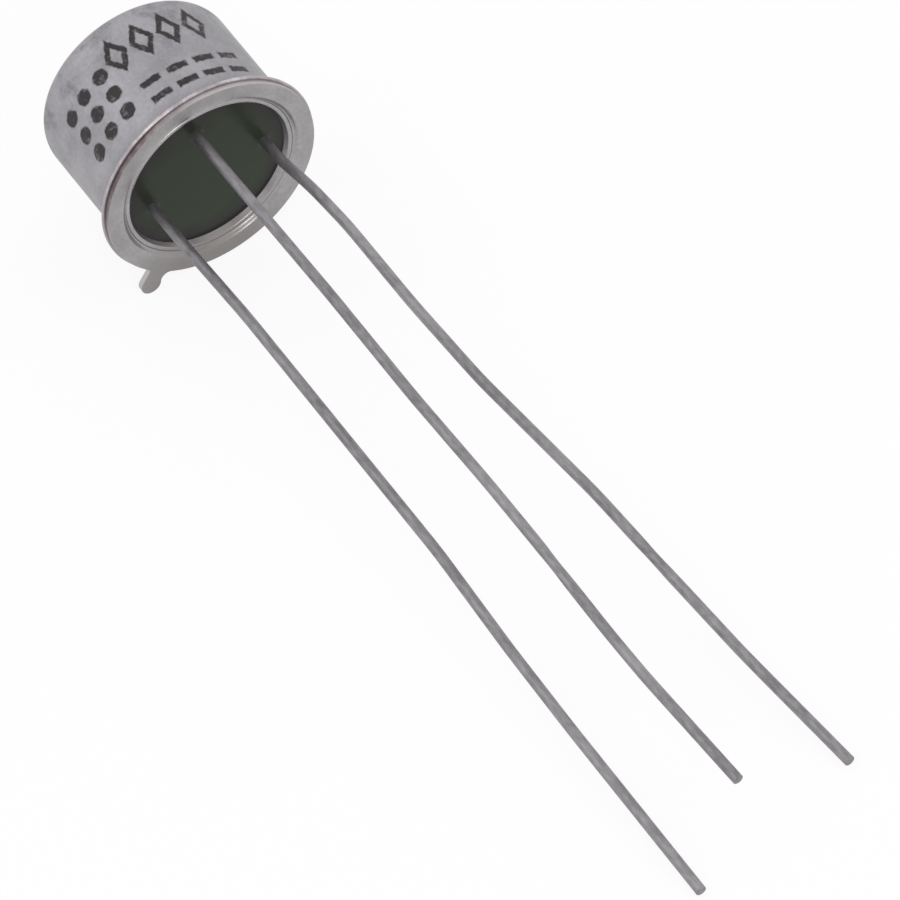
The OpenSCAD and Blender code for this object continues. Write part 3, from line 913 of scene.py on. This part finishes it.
def sweep(bm, points, radius, waist):
    """Sweeps a ring along the points and caps both ends."""
    aheads = [after - before for before, after in
              zip(points[:1] + points[:-1], points[1:] + points[-1:])]
    widths = [1 - waist * math.exp(-((-point.z - WAIST_AT) / WAIST_HALF_LEN) ** 2)
              for point in points]
    start = Vector((0, 0, 1)).rotation_difference(aheads[0]).to_matrix().to_4x4()
    ring = bmesh.ops.create_circle(
        bm, cap_ends=True, segments=WIRE_SIDES, radius=radius,
        matrix=Matrix.Translation(points[0]) @ start)["verts"]
    for i in range(1, len(points)):
        edges = list({e for v in ring for e in v.link_edges if e.other_vert(v) in ring})
        grown = bmesh.ops.extrude_edge_only(bm, edges=edges)["geom"]
        ring = [item for item in grown if isinstance(item, bmesh.types.BMVert)]
        turn = aheads[i - 1].rotation_difference(aheads[i]).to_matrix().to_4x4()
        scale = Matrix.Scale(widths[i] / widths[i - 1], 4)
        move = Matrix.Translation(points[i]) @ turn @ scale @ Matrix.Translation(-points[i - 1])
        bmesh.ops.transform(bm, matrix=move, verts=ring)
    bmesh.ops.contextual_create(bm, geom=ring)


for lead_name in ROUTES:
    bm = bmesh.new()
    sweep(bm, route_points(lead_name), LEAD_R, WAISTS[lead_name])
    finish_piece(bm, lead_name + "_wire", [lead_name + "_lead"], wire_material)

# %% [markdown]
# ## The junction inside the can
#
# The can hides a nickel plate with a wafer of germanium soldered to it, an indium dot on each
# face and a fine wire to each dot. The construction model already has these at their real size,
# so they keep their meshes and only get the finish of their metals, with the mottling that each
# surface has: rolled, flowed, etched, pressed or drawn.

# %% Inner metals
INNER_METALS = {
    "rolled_nickel": ("#b4b0a6", "#9a968e", 0.35, 0.3, ["base_tab"]),
    "flowed_tin_solder": ("#c8c8ca", "#a9a9ac", 0.22, 0.2, ["base_solder"]),
    "etched_germanium": ("#6a6c70", "#56585c", 0.28, 0.15, ["germanium_wafer"]),
    "pressed_indium": ("#cfcfcf", "#b2b2b4", 0.4, 0.12, ["emitter_dot", "collector_dot"]),
    "gilded_fine_wire": ("#c9b07a", "#a88f5e", 0.3, 0.1, ["emitter_whisker", "collector_whisker"]),
}
for name, (light, dark, roughness, mottle_mm, nodes) in INNER_METALS.items():
    material, tree = new_material(name)
    mottle = add(tree, "TexNoise", {
        "Vector": standing_mm(tree), "Scale": 1 / mottle_mm, "Detail": 3.0})
    tone = add(tree, "MapRange", {"Value": mottle, "From Min": 0.35, "From Max": 0.65})
    coloured = add(tree, "Mix", {"Factor": tone, "A": linear(dark), "B": linear(light)},
                   data_type="RGBA")
    shader = add(tree, "BsdfPrincipled", {
        "Base Color": coloured, "Metallic": 1.0, "Roughness": roughness})
    add(tree, "OutputMaterial", {"Surface": shader})
    for node in nodes:
        inner = frame["nodes"][node].data
        inner.materials.clear()
        inner.materials.append(material)
print("inner metals:", list(INNER_METALS))

# %% [markdown]
# ## The table
#
# The table is a large pale sheet. For the lens it is mixed with plain white, which gives a clean
# background but still keeps a soft shadow under the part. Reflections get less of that white, so
# the dull metal and the glass still show the shade that they throw in front of them.

# %% The table
PAPER = "#fafafa"
SEEN_WHITE = 0.88
MIRRORED_WHITE = 0.7
TABLE_HALF_M = 1.5

table_material, tree = new_material("white_paper")
rays = add(tree, "LightPath")
seen = add(tree, "Math", {0: rays.outputs["Is Camera Ray"], 1: SEEN_WHITE}, operation="MULTIPLY")
mirrored = add(tree, "Math", {0: rays.outputs["Is Glossy Ray"],
                              1: rays.outputs["Is Transmission Ray"]}, operation="MAXIMUM")
share = add(tree, "Math", {0: mirrored, 1: MIRRORED_WHITE, 2: seen}, operation="MULTIPLY_ADD")
paper = add(tree, "BsdfDiffuse", {"Color": linear(PAPER)})
glow = add(tree, "Emission", {"Color": (1, 1, 1, 1), "Strength": 1.0})
both = add(tree, "MixShader", {0: share, 1: paper, 2: glow})
add(tree, "OutputMaterial", {"Surface": both})

bm = bmesh.new()
bmesh.ops.create_grid(bm, x_segments=1, y_segments=1, size=TABLE_HALF_M)
mesh = bpy.data.meshes.new("table")
bm.to_mesh(mesh)
bm.free()
table = bpy.data.objects.new("table", mesh)
bpy.context.scene.collection.objects.link(table)
mesh.materials.append(table_material)
print("table:", [round(v, 2) for v in table.dimensions], "m")

# %% [markdown]
# ## Light
#
# A small product is shot in a light tent: white all round, with two soft lamps behind the cloth.
# The world stands for the tent. It is plain white for the lens and for reflections, so the dull
# metal shows its own colour, and a little dimmer for the light that it sheds. The lamps are small
# against the tent, so dull metal hardly shows them, while a burnished edge catches a bright line.

# %% The world and the lamps
TENT_LIGHT = 0.9

world = bpy.data.worlds.new("tent")
bpy.context.scene.world = world
world.use_nodes = True
world.node_tree.nodes.clear()
tree = world.node_tree
rays = add(tree, "LightPath")
seen = add(tree, "Math", {0: rays.outputs["Is Camera Ray"], 1: rays.outputs["Is Glossy Ray"]},
           operation="MAXIMUM")
seen = add(tree, "Math", {0: seen, 1: rays.outputs["Is Transmission Ray"]}, operation="MAXIMUM")
tent = add(tree, "Background", {"Color": (1, 1, 1, 1), "Strength": TENT_LIGHT})
white = add(tree, "Background", {"Color": (1, 1, 1, 1), "Strength": 1.0})
picked = add(tree, "MixShader", {0: seen, 1: tent, 2: white})
add(tree, "OutputWorld", {"Surface": picked})


def soft_lamp(name, azimuth, elevation, distance_mm, size_mm, power):
    """A square soft lamp that points at the can from a direction."""
    data = bpy.data.lights.new(name, "AREA")
    data.size = size_mm * MM
    data.energy = power
    light = bpy.data.objects.new(name, data)
    flat = math.cos(math.radians(elevation))
    toward = Vector((flat * math.cos(math.radians(azimuth)),
                     flat * math.sin(math.radians(azimuth)),
                     math.sin(math.radians(elevation))))
    light.matrix_world = (Matrix.Translation(flange_centre + toward * distance_mm * MM)
                          @ toward.to_track_quat("Z", "Y").to_matrix().to_4x4())
    bpy.context.scene.collection.objects.link(light)


soft_lamp("key", azimuth=-132, elevation=46, distance_mm=450, size_mm=90, power=0.07)
soft_lamp("front", azimuth=-14, elevation=30, distance_mm=450, size_mm=125, power=0.28)
bpy.context.scene.view_settings.view_transform = "Standard"
